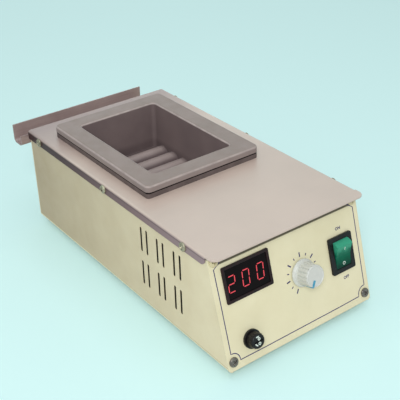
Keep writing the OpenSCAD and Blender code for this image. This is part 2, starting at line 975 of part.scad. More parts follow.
module board_pillars() {
    color([0.8, 0.7, 0.4])
        at_pillars() {
            cylinder(d = 6, h = pillar_h, $fn = 6);
            translate([0, 0, -sheet])
                cylinder(d = 3, h = pillar_h + sheet + board_t + 1.4);
            translate([0, 0, pillar_h + board_t])
                cylinder(d = 5.5, h = 2, $fn = 24);
            translate([0, 0, -sheet - 2])
                cylinder(d = 5.5, h = 2, $fn = 24);
        }
}

module board_transformer() {
    color([0.75, 0.65, 0.3])
        translate([ctrl_x - ctrl_w * 0.26, ctrl_y, board_z + board_t]) {
            translate([0, 0, 14])
                cube([33, 15, 28], center = true);
            translate([0, 0, 14])
                cube([20, 27, 17], center = true);
        }
}

module triac_heatsink() {
    color([0.2, 0.2, 0.21])
        translate([ctrl_x + ctrl_w * 0.18, ctrl_y + ctrl_d * 0.15, board_z + board_t]) {
            translate([0, 0, 15])
                cube([30, 3, 30], center = true);
            for (i = [-3 : 3])
                translate([i * 4.4, 5, 15])
                    cube([1.4, 10, 30], center = true);
        }
}

module board_terminals() {
    color([0.15, 0.45, 0.25])
        translate([ctrl_x + ctrl_w * 0.12, ctrl_y - ctrl_d / 2 + 9, board_z + board_t])
            difference() {
                translate([0, 0, 6])
                    cube([41, 11, 12], center = true);
                for (i = [-3.5 : 3.5])
                    translate([i * 5, -5, 4])
                        cube([3.4, 6, 5], center = true);
            }
}

// ---- power inlet ----

module inlet_outline(w, h, c) {
    polygon([[-w / 2, -h / 2], [w / 2, -h / 2], [w / 2, h / 2 - c], [w / 2 - c, h / 2],
        [-w / 2 + c, h / 2], [-w / 2, h / 2 - c]]);
}

// Places of the inlet's three blades
module at_blades() {
    for (p = [[-7, -1.4], [7, -1.4], [0, 2.8]])
        translate([inlet_x + p[0], yr - 8.5, inlet_z + p[1]])
            children();
}

module power_inlet() {
    color([0.1, 0.1, 0.1])
        difference() {
            translate([inlet_x, 0, inlet_z]) {
                along_y(yr, yr + 3.2)
                    rrect(50, 24.4, 4);
                along_y(yr - 18, yr + eps)
                    inlet_outline(27.4, 19.8, 5);
            }
            translate([inlet_x, 0, inlet_z])
                along_y(yr - 12.5, yr + 4)
                    inlet_outline(24.4, 16.6, 4.4);
            for (s = [-1, 1])
                translate([inlet_x + s * inlet_screw_x, yr, inlet_z])
                    panel_hole(3.4, 5);
            at_blades()
                cube([blade_t, 19, blade_h], center = true);
        }
}

module inlet_pins() {
    color([0.8, 0.8, 0.78])
        at_blades()
            difference() {
                translate([0, -2.5, 0])
                    cube([blade_t, 23, blade_h], center = true);
                translate([0, -12, 0])
                    cube([3, 1.6, 1.6], center = true);
            }
}

module inlet_screws() {
    color([0.75, 0.75, 0.77])
        for (s = [-1, 1])
            translate([inlet_x + s * inlet_screw_x, yr + 3.2, inlet_z])
                rotate([-90, 0, 0]) {
                    pan_screw(3, 5.6, 1.9, 9);
                    translate([0, 0, -3.2 - sheet - 2.4])
                        cylinder(d = 6.2, h = 2.4, $fn = 6);
                }
}

stud_y = yr - 34;

module earth_stud() {
    color([0.8, 0.8, 0.78])
        translate([stud_x, stud_y, zb]) {
            translate([0, 0, -2])
                cylinder(d = 7, h = 2, $fn = 6);
            translate([0, 0, -eps])
                cylinder(d = screw_d, h = 14);
            translate([0, 0, sheet])
                cylinder(d = 8, h = 3, $fn = 6);
        }
}

// ---- feet ----

module at_foot(sx, sy) {
    translate([sx * (wall_x - foot_side), sy * (yr - foot_end), 0])
        children();
}

module at_feet() {
    for (sx = [-1, 1], sy = [-1, 1])
        at_foot(sx, sy)
            children();
}

module foot() {
    color([0.12, 0.12, 0.12])
        rotate_extrude()
            polygon([[2.2, 3.2], [4.6, 3.2], [4.6, 0], [foot_d / 2 - 0.6, 0],
                [foot_d / 2, 0.6], [foot_d / 2 + 1, foot_h], [2.2, foot_h]]);
}

module foot_front_left() {
    at_foot(-1, -1)
        foot();
}

module foot_front_right() {
    at_foot(1, -1)
        foot();
}

module foot_rear_left() {
    at_foot(-1, 1)
        foot();
}

module foot_rear_right() {
    at_foot(1, 1)
        foot();
}

module foot_screws() {
    color([0.7, 0.7, 0.72])
        at_feet() {
            translate([0, 0, 3.2])
                rotate([180, 0, 0])
                    pan_screw(screw_d, head_d, 2.2, foot_h - 3.2 + sheet + 4.2);
            translate([0, 0, zb + sheet])
                cylinder(d = 8, h = 3, $fn = 6);
        }
}

// ---- screws ----

module cover_screws() {
    color([0.82, 0.82, 0.84])
        at_cover_screws()
            translate([0, 0, cover_t])
                pan_screw(screw_d, head_d, head_h, 6);
}

module front_panel_screws() {
    color([0.2, 0.17, 0.22])
        at_front_screws()
            rotate([90, 0, 0])
                pan_screw(screw_d, head_d + 0.6, head_h, 8);
}

module rear_panel_screws() {
    color([0.2, 0.17, 0.22])
        at_rear_screws()
            rotate([-90, 0, 0])
                pan_screw(screw_d, head_d + 0.6, head_h, 8);
}

// ---- dross trough ----

rail_screw_z = trough_z0 - 0.3 - rail_t - 8;

// Places of the rail's two screws on the rear panel's face
module at_rail_screws() {
    for (s = [-1, 1])
        translate([s * rail_l * 0.36, yr, rail_screw_z])
            children();
}

// Profile of a bent strip: front wall, round bends, floor and a rear wall that leans back
module trough_profile() {
    r = 4;
    t = trough_t;
    translate([trough_y0, trough_z0])
        difference() {
            union() {
                translate([r, 0])
                    square([trough_d - 2 * r, t]);
                translate([0, r])
                    square([t, trough_front - r]);
                for (s = [0, 1])
                    intersection() {
                        translate([s == 0 ? r : trough_d - r, r])
                            difference() {
                                circle(r);
                                circle(r - t);
                            }
                        translate([s == 0 ? 0 : trough_d - r, 0])
                            square([r, r]);
                    }
                translate([trough_d - t, r - eps])
                    square([t, trough_h - r + eps]);
            }
        }
}

module dross_trough() {
    color([0.62, 0.57, 0.57])
        translate([trough_x, 0, 0])
            along_x(trough_l)
                trough_profile();
}

// Folded strip screwed to the rear panel; the trough lies and slides in it
module trough_rail() {
    y1 = trough_y0 + trough_d + 0.4;
    z1 = trough_z0 - 0.3;
    color([0.7, 0.68, 0.68])
        difference() {
            along_x(rail_l) {
                translate([yr, rail_screw_z - 5])
                    square([rail_t, z1 - rail_screw_z + 5]);
                translate([yr, z1 - rail_t])
                    square([y1 + rail_t - yr, rail_t]);
                translate([y1, z1 - rail_t])
                    square([rail_t, 6]);
            }
            at_rail_screws()
                panel_hole(3.4, 4);
        }
}

module rail_screws() {
    color([0.75, 0.75, 0.77])
        at_rail_screws()
            translate([0, rail_t, 0])
                rotate([-90, 0, 0])
                    pan_screw(3, 5.6, 2, 6);
}

chassis();
front_panel();
rear_panel();
top_cover();
crucible();
rim_collar();
heater(0);  // heater_1
heater(1);  // heater_2
heater(2);  // heater_3
heater(3);  // heater_4
heater(4);  // heater_5
heater(5);  // heater_6
temperature_probe();
fibre_jacket();
heat_shield();
shield_bracket_front();
shield_bracket_rear();
display_bezel();
display_lens();
display_board();
regulator_body();
regulator_shaft();
regulator_nut();
heat_knob();
switch_housing();
switch_rocker();
switch_tabs();
fuse_holder();
fuse_nut();
fuse_cap();
glass_fuse();
control_board();
board_pillars();
board_transformer();
triac_heatsink();
board_terminals();
power_inlet();
inlet_pins();
inlet_screws();
earth_stud();
foot_front_left();
foot_front_right();
foot_rear_left();
foot_rear_right();
foot_screws();
cover_screws();
front_panel_screws();
rear_panel_screws();
dross_trough();
trough_rail();
rail_screws();
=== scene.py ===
"""Looks of the solder pot: materials, print, lit digits, screws with recesses, light and camera."""
import math

import bmesh
import bpy
from mathutils import Matrix, Vector


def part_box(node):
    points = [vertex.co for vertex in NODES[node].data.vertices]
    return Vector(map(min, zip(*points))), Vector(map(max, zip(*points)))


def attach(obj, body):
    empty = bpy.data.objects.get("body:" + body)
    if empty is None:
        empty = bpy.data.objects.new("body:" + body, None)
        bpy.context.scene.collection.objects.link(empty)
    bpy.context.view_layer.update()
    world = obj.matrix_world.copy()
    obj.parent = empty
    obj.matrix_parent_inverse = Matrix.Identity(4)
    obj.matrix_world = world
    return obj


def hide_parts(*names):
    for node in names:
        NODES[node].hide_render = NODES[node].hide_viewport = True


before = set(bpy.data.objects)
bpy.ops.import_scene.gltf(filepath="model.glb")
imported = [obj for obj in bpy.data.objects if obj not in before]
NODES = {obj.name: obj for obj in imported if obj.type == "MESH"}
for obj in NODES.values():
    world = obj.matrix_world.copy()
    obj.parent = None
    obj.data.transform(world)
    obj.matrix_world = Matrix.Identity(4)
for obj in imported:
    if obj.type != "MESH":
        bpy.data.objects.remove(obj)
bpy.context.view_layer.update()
MM = 0.001

# ---- sizes of the CAD that looks line up with, in millimetres ----
SHEET = 1.2
BEND = 3.5
RIM_THICK = 6.1

# ---- the front panel's own frame: x from the middle, up along its slope, out from its face ----
PANEL_LEAN = math.radians(16.2)
PANEL_FOOT = Vector((0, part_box("front_panel")[0].y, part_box("chassis")[0].z))
PANEL = Matrix.Translation(PANEL_FOOT) @ Matrix.Rotation(-PANEL_LEAN, 4, "X") \
    @ Matrix.Rotation(math.radians(90), 4, "X") @ Matrix.Scale(MM, 4)

KNOB = (9.5, 52.5)
SWITCH = (53.5, 53.1)
FUSE = (-52.4, 19.8)
DISPLAY = (-45.0, 71.1)
SCREW_X, SCREW_LOW, SCREW_HIGH = 73.3, 8.2, 93.97
PANEL_SCREWS = [(s * SCREW_X, up) for s in (-1, 1) for up in (SCREW_LOW, SCREW_HIGH)]
DIAL_START, DIAL_STEP, DIAL_MARKS = -150, 25, 13


def srgb(r, g, b):
    """0-255 screen colour to the linear colour that shaders take"""
    def one(v):
        v /= 255
        return v / 12.92 if v <= 0.04045 else ((v + 0.055) / 1.055) ** 2.4
    return (one(r), one(g), one(b), 1.0)


# ---- materials ----

class Shader:
    """A Principled material built node by node; coordinates are the piece's own, in metres"""

    def __init__(self, name, rough=0.5, metal=0.0, coat=0.0, specular=0.5):
        self.mat = bpy.data.materials.new(name)
        self.mat.use_nodes = True
        self.tree = self.mat.node_tree
        self.bsdf = self.tree.nodes["Principled BSDF"]
        self.set("Roughness", rough)
        self.set("Metallic", metal)
        self.set("Coat Weight", coat)
        self.set("Specular IOR Level", specular)
        self.place = self.node("ShaderNodeTexCoord").outputs["Object"]

    def node(self, kind, **values):
        n = self.tree.nodes.new(kind)
        for key, value in values.items():
            setattr(n, key, value)
        return n

    def set(self, socket, value):
        self.bsdf.inputs[socket].default_value = value

    def link(self, a, b):
        self.tree.links.new(a, b)

    def stretch(self, scale):
        m = self.node("ShaderNodeMapping")
        m.inputs["Scale"].default_value = scale
        self.link(self.place, m.inputs["Vector"])
        return m.outputs["Vector"]

    def noise(self, scale, detail=3.0, rough=0.55, vector=None):
        n = self.node("ShaderNodeTexNoise")
        n.inputs["Scale"].default_value = scale
        n.inputs["Detail"].default_value = detail
        n.inputs["Roughness"].default_value = rough
        self.link(vector or self.place, n.inputs["Vector"])
        return n.outputs["Fac"]

    def ramp(self, factor, stops):
        r = self.node("ShaderNodeValToRGB")
        el = r.color_ramp.elements
        while len(el) < len(stops):
            el.new(0.5)
        for e, (at, colour) in zip(el, stops):
            e.position = at
            e.color = colour
        self.link(factor, r.inputs["Fac"])
        return r.outputs["Color"]

    def math(self, op, a, b=0):
        n = self.node("ShaderNodeMath", operation=op)
        for i, v in enumerate((a, b)):
            if isinstance(v, (int, float)):
                n.inputs[i].default_value = v
            else:
                self.link(v, n.inputs[i])
        return n.outputs[0]

    def range(self, value, lo, hi, out_lo=0.0, out_hi=1.0):
        n = self.node("ShaderNodeMapRange")
        for i, v in enumerate((lo, hi, out_lo, out_hi), 1):
            n.inputs[i].default_value = v
        self.link(value, n.inputs[0])
        return n.outputs[0]

    def mix(self, factor, a, b, blend="MIX"):
        n = self.node("ShaderNodeMix", data_type="RGBA", blend_type=blend)
        for socket, v in ((n.inputs[0], factor), (n.inputs[6], a), (n.inputs[7], b)):
            if isinstance(v, (int, float, tuple)):
                socket.default_value = v
            else:
                self.link(v, socket)
        return n.outputs[2]

    def axis(self, letter):
        n = self.node("ShaderNodeSeparateXYZ")
        self.link(self.place, n.inputs[0])
        return n.outputs[letter]

    def colour(self, value):
        self.link(value, self.bsdf.inputs["Base Color"])

    def roughness(self, value):
        self.link(value, self.bsdf.inputs["Roughness"])

    def bump(self, height, distance, strength, edge=0.0):
        """Fine relief; an edge radius also softens sharp edges, as painting or tumbling does"""
        b = self.node("ShaderNodeBump")
        b.inputs["Distance"].default_value = distance
        b.inputs["Strength"].default_value = strength
        self.link(height, b.inputs["Height"])
        if edge:
            bevel = self.node("ShaderNodeBevel", samples=4)
            bevel.inputs["Radius"].default_value = edge
            self.link(bevel.outputs["Normal"], b.inputs["Normal"])
        self.link(b.outputs["Normal"], self.bsdf.inputs["Normal"])


def case_painted_light_and_shade(s, tone, inside_shade):
    """Painted light and shade of the case: a paler rolled foot as painted bounce light, a painted shade line
    along the crease above it, and painted shade on the inside beyond the sheet's outer skin
    """
    low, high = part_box("chassis")
    bend, skin = BEND * MM, 0.0001
    soft, foot_light_top = 0.0003, 0.0036
    crease_low, crease_high = 0.0035, 0.0045
    up = s.math("SUBTRACT", s.axis("Z"), low.z)
    # painted bounce light: the rolled foot is made paler
    tone = s.mix(s.range(up, foot_light_top + soft, foot_light_top), tone, srgb(232, 228, 198))
    # painted shade: a darker line along the crease
    crease_shade = s.math("MULTIPLY", s.range(up, crease_low, crease_low + soft),
                    s.range(up, crease_high, crease_high - soft))
    tone = s.mix(crease_shade, tone, srgb(190, 180, 146))
    # painted shade: dark inside beyond the sheet's outer skin
    across = s.math("MAXIMUM", s.math("SUBTRACT", s.math("ABSOLUTE", s.axis("X")), high.x - bend))
    down = s.math("MAXIMUM", s.math("SUBTRACT", low.z + bend, s.axis("Z")))
    reach = s.math("SQRT", s.math("ADD", s.math("MULTIPLY", across, across), s.math("MULTIPLY", down, down)))
    return s.mix(s.range(reach, bend - skin - soft, bend - skin), inside_shade, tone)


def lip_painted_shadow(s, tone, dark):
    """Painted shadow: a dark band on the panel's top, where the cover's lip hangs over it; it thins out at
    the panel's ends
    """
    shadow_depth, soft = 0.0092, 0.0007
    thin_from, thin_to, thin_by = 0.0715, 0.0775, 0.007
    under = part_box("top_cover")[1].z - SHEET * MM
    drop = s.math("SUBTRACT", under, s.axis("Z"))
    ends = s.range(s.math("ABSOLUTE", s.axis("X")), thin_from, thin_to, 0, thin_by)
    # painted shadow of the cover's lip on the panel
    return s.mix(s.range(s.math("ADD", drop, ends), shadow_depth, shadow_depth + soft), dark, tone)


def painted(name, base, worn, rear=None, inside_shade=None, lip_shadow=None):
    """Semi-gloss powder coat with faint mottling; the options add painted shade towards the rear, the case's
    painted light and shade, and the painted shadow under the cover's lip
    """
    s = Shader(name, rough=0.42, specular=0.45, coat=0.08)
    tone = s.ramp(s.noise(26, 4), [(0.3, worn), (0.62, base)])
    if rear:
        # painted shade: darker towards the rear
        front_y, rear_y = -0.15, 0.17
        tone = s.mix(s.range(s.axis("Y"), front_y, rear_y), tone, rear, "MULTIPLY")
    if inside_shade:
        tone = case_painted_light_and_shade(s, tone, inside_shade)
    if lip_shadow:
        tone = lip_painted_shadow(s, tone, lip_shadow)
    s.colour(tone)
    s.roughness(s.range(s.noise(90, 3), 0.3, 0.7, 0.36, 0.5))
    s.bump(s.noise(1500, 2), 0.00004, 0.5, edge=0.0004)
    return s.mat


def flange_painted_reflection_and_shade(s, shade, cloud, stops, metal):
    """Side flanges with a painted reflection that darkens them to the rear, duller than the top, and a fine
    painted shade line under their fold
    """
    front_y, rear_y, clouding = -0.14, 0.156, 0.12
    fold_start, fold_end = 0.0006, 0.0022
    fold_shade_strength, flange_specular = 0.4, 0.12
    drop = s.math("SUBTRACT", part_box("top_cover")[1].z, s.axis("Z"))
    cloudy = s.math("MULTIPLY", s.math("SUBTRACT", cloud, 0.5), clouding)
    # painted reflection: the flanges darken towards the rear
    shade_along = s.ramp(s.math("ADD", s.range(s.axis("Y"), front_y, rear_y), cloudy), stops)
    shade = s.mix(s.range(drop, fold_start, fold_end), shade, shade_along)
    # painted shade: a fine dark line under the fold
    line = s.math("MULTIPLY", s.range(drop, 0.0021, 0.0025), s.range(drop, 0.0036, 0.0031))
    s.link(s.range(drop, fold_start, fold_end, metal, 0.0), s.bsdf.inputs["Metallic"])
    s.link(s.range(drop, fold_start, fold_end, 0.5, flange_specular), s.bsdf.inputs["Specular IOR Level"])
    return s.mix(s.math("MULTIPLY", line, fold_shade_strength), shade, srgb(52, 42, 44))


def sheet_metal(name, light, dark, rough=0.36, metal=0.6, flange_shade_stops=None, rear=None):
    """Satin sheet: long fine grain and cloudy handling marks; the rear may be darker, and the flanges carry
    painted reflection and shade
    """
    s = Shader(name, rough=rough, metal=metal)
    grain, grain_share = (30, 900, 900), 0.28
    cloud = s.noise(14, 4, 0.6)
    lines = s.noise(1.0, 3, 0.6, s.stretch(grain))
    tone = s.math("ADD", s.math("MULTIPLY", cloud, 1 - grain_share), s.math("MULTIPLY", lines, grain_share))
    shade = s.ramp(tone, [(0.32, dark), (0.64, light)])
    if rear:
        rear_from, rear_to = 0.07, 0.15
        shade = s.mix(s.range(s.axis("Y"), rear_from, rear_to), shade, rear, "MULTIPLY")
    if flange_shade_stops:
        shade = flange_painted_reflection_and_shade(s, shade, cloud, flange_shade_stops, metal)
    s.colour(shade)
    s.roughness(s.range(s.math("ADD", lines, cloud), 0.7, 1.3, rough - 0.05, rough + 0.1))
    s.bump(lines, 0.00001, 0.4, edge=0.0003)
    return s.mat


def plain(name, light, dark, rough, metal=0.0, coat=0.0, scale=300, depth=0.00002, edge=0.0, specular=0.5):
    """Moulded or turned surface with slight unevenness of tone and gloss"""
    s = Shader(name, rough=rough, metal=metal, coat=coat, specular=specular)
    s.colour(s.ramp(s.noise(scale, 3), [(0.3, dark), (0.7, light)]))
    s.roughness(s.range(s.noise(scale * 0.4, 3), 0.3, 0.7, max(rough - 0.05, 0.02), rough + 0.07))
    s.bump(s.noise(scale * 5, 2), depth, 0.4, edge=edge)
    return s.mat


def mineral_collar():
    """Dusty pressed board, with painted shade in the groove under the pot's rim"""
    s = Shader("mineral_collar", rough=0.66, specular=0.25)
    tone = s.ramp(s.noise(120, 4), [(0.3, srgb(92, 81, 80)), (0.7, srgb(108, 96, 95))])
    below_rim, soft = 1.6, 0.0002
    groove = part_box("crucible")[1].z - (RIM_THICK + below_rim) * MM
    # painted shade: the groove under the rim is made dark
    s.colour(s.mix(s.range(s.axis("Z"), groove, groove + soft), tone, srgb(34, 24, 25)))
    s.bump(s.noise(700, 4), 0.00008, 0.5, edge=0.0004)
    return s.mat


def screw_plating():
    """Dull dark plating; the two front heads up under the cover's lip have the panel's colour"""
    s = Shader("dark_plating", rough=0.24, metal=0.5)
    tone = s.ramp(s.noise(300, 3), [(0.3, srgb(84, 76, 74)), (0.7, srgb(128, 120, 114))])
    upper, middle, soft = 0.08, 0.0, 0.001
    upper_front = s.math("MULTIPLY", s.range(s.axis("Z"), upper, upper + soft),
                         s.range(s.axis("Y"), middle + soft, middle))
    s.colour(s.mix(upper_front, tone, srgb(206, 200, 164)))
    s.roughness(s.range(upper_front, 0, 1, 0.26, 0.5))
    s.link(s.range(upper_front, 0, 1, 0.5, 0.0), s.bsdf.inputs["Metallic"])
    s.bump(s.noise(1500, 2), 0.00002, 0.4, edge=0.0002)
    return s.mat


def beyond_mouth(s):
    """How far a point lies outside the walls round the pot's mouth"""
    low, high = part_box("crucible")
    rim_band = 0.0085
    out = 0.0
    for axis, lo, hi in (("X", low.x, high.x), ("Y", low.y, high.y)):
        away = s.math("ABSOLUTE", s.math("SUBTRACT", s.axis(axis), (lo + hi) / 2))
        out = s.math("MAXIMUM", out, s.math("SUBTRACT", away, (hi - lo) / 2 - rim_band))
    return out


def floor_painted_light_and_shade(s, depth):
    """Pot's floor with painted light and shade: dark between the ridges and near the right-hand wall, paler
    up the crowns where they face up
    """
    valley_depth, crown_depth = 0.0455, 0.0418
    steep, level = 0.35, 0.75
    wall_x, clear_x = 0.036, 0.030
    facing = s.node("ShaderNodeSeparateXYZ")
    s.link(s.node("ShaderNodeNewGeometry").outputs["Normal"], facing.inputs[0])
    # painted light on the upward-facing crowns, painted shade in the valleys and near the right-hand wall
    crown_light = s.math("MULTIPLY", s.range(depth, valley_depth, crown_depth),
                   s.range(facing.outputs["Z"], steep, level))
    crown_light = s.math("MULTIPLY", crown_light, s.range(s.axis("X"), wall_x, clear_x))
    cloudy = s.math("MULTIPLY", s.math("SUBTRACT", s.noise(70, 4), 0.5), 0.3)
    return s.mix(s.math("ADD", crown_light, cloudy), srgb(104, 91, 92), srgb(160, 147, 145))


def cast_iron():
    """Fine-ground rim with a painted highlight round its top edge, turning dark and dull down the walls, with
    a sandy cast skin inside
    """
    s = Shader("cast_pot", rough=0.5, metal=0.05, specular=0.3)
    rim = s.ramp(s.noise(40, 5), [(0.3, srgb(140, 128, 123)), (0.7, srgb(149, 136, 132))])
    # painted highlight along the rim's top edge
    edge = s.ramp(s.noise(160, 4), [(0.3, srgb(160, 149, 147)), (0.7, srgb(182, 171, 168))])
    side = s.ramp(s.noise(50, 5), [(0.3, srgb(138, 127, 126)), (0.7, srgb(150, 139, 137))])
    wall = s.ramp(s.noise(30, 5), [(0.3, srgb(112, 99, 100)), (0.7, srgb(124, 110, 110))])
    wall_end, floor_start = 0.036, 0.041
    rim_end, highlight_start, highlight_end, below_start = 0.0001, 0.0004, 0.0013, 0.0018
    depth = s.math("SUBTRACT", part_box("crucible")[1].z, s.axis("Z"))
    below = s.mix(s.range(depth, wall_end, floor_start), wall, floor_painted_light_and_shade(s, depth))
    below = s.mix(s.range(beyond_mouth(s), 0.0, 0.0005), below, side)
    above = s.mix(s.range(depth, rim_end, highlight_start), rim, edge)
    s.colour(s.mix(s.range(depth, highlight_end, below_start), above, below))
    s.roughness(s.range(s.noise(120, 4), 0.3, 0.7, 0.42, 0.58))
    s.bump(s.noise(900, 4, 0.7), 0.00007, 0.5, edge=0.0008)
    return s.mat


def glowing(name, colour, strength):
    """Lit plastic of one even colour"""
    s = Shader(name, rough=0.4)
    s.set("Base Color", colour)
    s.set("Emission Color", colour)
    s.set("Emission Strength", strength)
    return s.mat


def rocker_green():
    """Clear green moulding with painted shade low down and painted light where the upper face catches light
    """
    s = Shader("rocker_green", rough=0.3, specular=0.12)
    low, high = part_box("switch_rocker")
    cloudy = s.math("MULTIPLY", s.math("SUBTRACT", s.noise(220, 3), 0.5), 0.35)
    tone = s.math("ADD", s.range(s.axis("Z"), low.z, high.z), cloudy)
    # painted light and shade: the ramp runs from dark low down to pale at the top
    s.colour(s.ramp(tone, [(0.1, srgb(8, 56, 43)), (0.36, srgb(2, 84, 62)),
                           (0.62, srgb(4, 108, 82)), (0.82, srgb(58, 158, 128))]))
    s.bump(s.noise(300, 2), 0.00003, 0.3)
    return s.mat


def glass_tube():
    """Pale tube with greyer metal ends"""
    s = Shader("fuse_glass", rough=0.08, specular=0.6)
    to_middle, tube_end, metal_start = 0.0097, 0.0035, 0.0052
    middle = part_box("glass_fuse")[0].y + to_middle
    away = s.math("ABSOLUTE", s.math("SUBTRACT", s.axis("Y"), middle))
    s.colour(s.ramp(s.range(away, tube_end, metal_start),
                    [(0.2, srgb(205, 215, 215)), (0.8, srgb(190, 190, 188))]))
    return s.mat


MATERIALS = {
    # the front panel carries a painted shadow under the cover's lip
    "cream_front": painted("cream_front", srgb(228, 225, 194), srgb(221, 217, 184),
                           lip_shadow=srgb(88, 78, 56)),
    # the case: painted shade towards the rear and inside, painted bounce light on its foot
    "cream_case": painted("cream_case", srgb(228, 223, 192), srgb(220, 213, 181),
                          rear=srgb(194, 183, 174), inside_shade=srgb(30, 27, 22)),
    "cream_rear": painted("cream_rear", srgb(222, 217, 187), srgb(213, 207, 176)),
    # the cover's flanges carry painted reflection and shade, darker to the rear
    "cover": sheet_metal("cover_steel", srgb(208, 192, 182), srgb(201, 185, 176), metal=0.15,
                         flange_shade_stops=[(0.0, srgb(152, 139, 145)), (0.3, srgb(132, 114, 118)),
                                 (0.6, srgb(98, 78, 82)), (0.82, srgb(70, 50, 53)),
                                 (1.0, srgb(58, 40, 43))],
                         rear=srgb(202, 194, 201)),
    "trough": sheet_metal("trough_steel", srgb(178, 160, 158), srgb(150, 132, 131), rough=0.34, metal=0.15),
    "zinc": sheet_metal("zinc_sheet", srgb(190, 190, 192), srgb(160, 160, 164), rough=0.3),
    "cast": cast_iron(),
    "collar": mineral_collar(),
    "fibre": plain("fibre_felt", srgb(238, 235, 226), srgb(215, 210, 200), 0.95, scale=420, depth=0.0002),
    "sheath": plain("steel_sheath", srgb(176, 176, 180), srgb(150, 150, 156), 0.28, metal=1.0),
    "black": plain("black_moulding", srgb(30, 26, 28), srgb(18, 16, 18), 0.36, edge=0.0003, specular=0.25),
    "bezel": plain("bezel_moulding", srgb(46, 18, 22), srgb(26, 11, 14), 0.34, edge=0.0003, specular=0.25),
    "lens": plain("display_window", srgb(20, 10, 13), srgb(12, 7, 9), 0.3, scale=60, depth=0.0,
                  specular=0.08),
    "modules": plain("display_modules", srgb(40, 40, 44), srgb(26, 26, 30), 0.5),
    "knob": plain("knob_moulding", srgb(206, 211, 208), srgb(198, 204, 202), 0.34, edge=0.0003),
    "rocker": rocker_green(),
    "board": plain("circuit_board", srgb(34, 104, 58), srgb(24, 80, 44), 0.4, coat=0.3, scale=160),
    "brass": plain("plain_brass", srgb(196, 164, 92), srgb(168, 138, 72), 0.3, metal=1.0),
    "chrome": plain("bright_plating", srgb(186, 176, 152), srgb(120, 110, 92), 0.24, metal=0.6, edge=0.0002),
    "dark_screw": screw_plating(),
    "rubber": plain("foot_rubber", srgb(40, 40, 41), srgb(28, 28, 29), 0.8, scale=200, depth=0.00006),
    "anodised": plain("black_anodised", srgb(48, 48, 51), srgb(34, 34, 37), 0.4, metal=0.6),
    "windings": plain("taped_windings", srgb(180, 150, 76), srgb(140, 112, 50), 0.5, scale=90),
    "glass": glass_tube(),
    "print": plain("panel_print", srgb(46, 34, 104), srgb(32, 24, 84), 0.5, scale=400, depth=0.0),
    "mark": plain("white_mark", srgb(226, 240, 234), srgb(205, 228, 220), 0.4, depth=0.0),
    "pointer": plain("blue_pointer", srgb(72, 162, 196), srgb(52, 140, 176), 0.4, depth=0.0),
    "digits": glowing("lit_segments", srgb(206, 62, 74), 0.42),
}

FINISH = {
    "cream_front": ["front_panel"],
    "cream_case": ["chassis"],
    "cream_rear": ["rear_panel"],
    "cover": ["top_cover"],
    "trough": ["dross_trough"],
    "zinc": ["heat_shield", "shield_bracket_front", "shield_bracket_rear", "trough_rail"],
    "cast": ["crucible"],
    "fibre": ["fibre_jacket"],
    "sheath": ["temperature_probe", "regulator_shaft"] + [f"heater_{i}" for i in range(1, 7)],
    "black": ["switch_housing", "fuse_holder", "fuse_nut", "fuse_cap", "power_inlet"],
    "bezel": ["display_bezel"],
    "lens": ["display_lens"],
    "modules": ["display_board"],
    "rocker": ["switch_rocker"],
    "board": ["control_board", "board_terminals"],
    "brass": ["regulator_body", "switch_tabs", "board_pillars"],
    "chrome": ["regulator_nut", "inlet_pins", "earth_stud", "foot_screws"],
    "rubber": ["foot_front_left", "foot_front_right", "foot_rear_left", "foot_rear_right"],
    "anodised": ["triac_heatsink"],
    "windings": ["board_transformer"],
    "glass": ["glass_fuse"],
}


def dress_nodes():
    """Give each CAD node that stays visible its material"""
    for look, names in FINISH.items():
        for name in names:
            node = NODES[name]
            if not node.material_slots:
                node.data.materials.append(MATERIALS[look])
            for s in node.material_slots:
                s.material = MATERIALS[look]


# ---- building pieces ----

def piece(name, mesh, look, body="case"):
    """A piece of the looks that rides on a body of the frame"""
    obj = bpy.data.objects.new(name, mesh)
    bpy.context.scene.collection.objects.link(obj)
    mesh.materials.clear()
    mesh.materials.append(MATERIALS[look])
    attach(obj, body)
    return obj


def mesh_from(name, bm, matrix=None):
    """Mesh of a bmesh, placed by a matrix, with its faces turned outwards"""
    if matrix is not None:
        bmesh.ops.transform(bm, matrix=matrix, verts=bm.verts)
    bmesh.ops.recalc_face_normals(bm, faces=bm.faces)
    mesh = bpy.data.meshes.new(name)
    bm.to_mesh(mesh)
    bm.free()
    return mesh


def prism(bm, outline, z0, z1):
    """Closed prism over a flat outline"""
    low = [bm.verts.new((x, y, z0)) for x, y in outline]
    high = [bm.verts.new((x, y, z1)) for x, y in outline]
    bm.faces.new(low[::-1])
    bm.faces.new(high)
    n = len(outline)
    for i in range(n):
        j = (i + 1) % n
        bm.faces.new((low[i], low[j], high[j], high[i]))


def stroke(bm, points, width, z0, z1, closed=False):
    """Closed ribbon of the given width along a flat path"""
    pts = [Vector(p) for p in points]
    left, right = [], []
    n = len(pts)
    for i, p in enumerate(pts):
        a = pts[(i - 1) % n] if closed or i > 0 else p
        b = pts[(i + 1) % n] if closed or i < n - 1 else p
        d = (b - a).normalized()
        side = Vector((-d.y, d.x)) * width / 2
        left.append(p + side)
        right.append(p - side)
    count = n if closed else n - 1
    rings = [[bm.verts.new((q.x, q.y, z)) for q in row]
             for row, z in ((left, z0), (right, z0), (right, z1), (left, z1))]
    for i in range(count):
        j = (i + 1) % n
        for k in range(4):
            a, b = rings[k], rings[(k + 1) % 4]
            bm.faces.new((a[i], a[j], b[j], b[i]))
    if not closed:
        for i in (0, n - 1):
            bm.faces.new([r[i] for r in rings])


def arc(cx, cy, r, start, end, steps):
    """Points of an arc between two angles in degrees, both ends included"""
    angles = [math.radians(start + (end - start) * i / steps) for i in range(steps + 1)]
    return [(cx + r * math.cos(a), cy + r * math.sin(a)) for a in angles]


# heights of printed marks over the face they lie on
PRINT_LOW, PRINT_HIGH = -0.02, 0.05


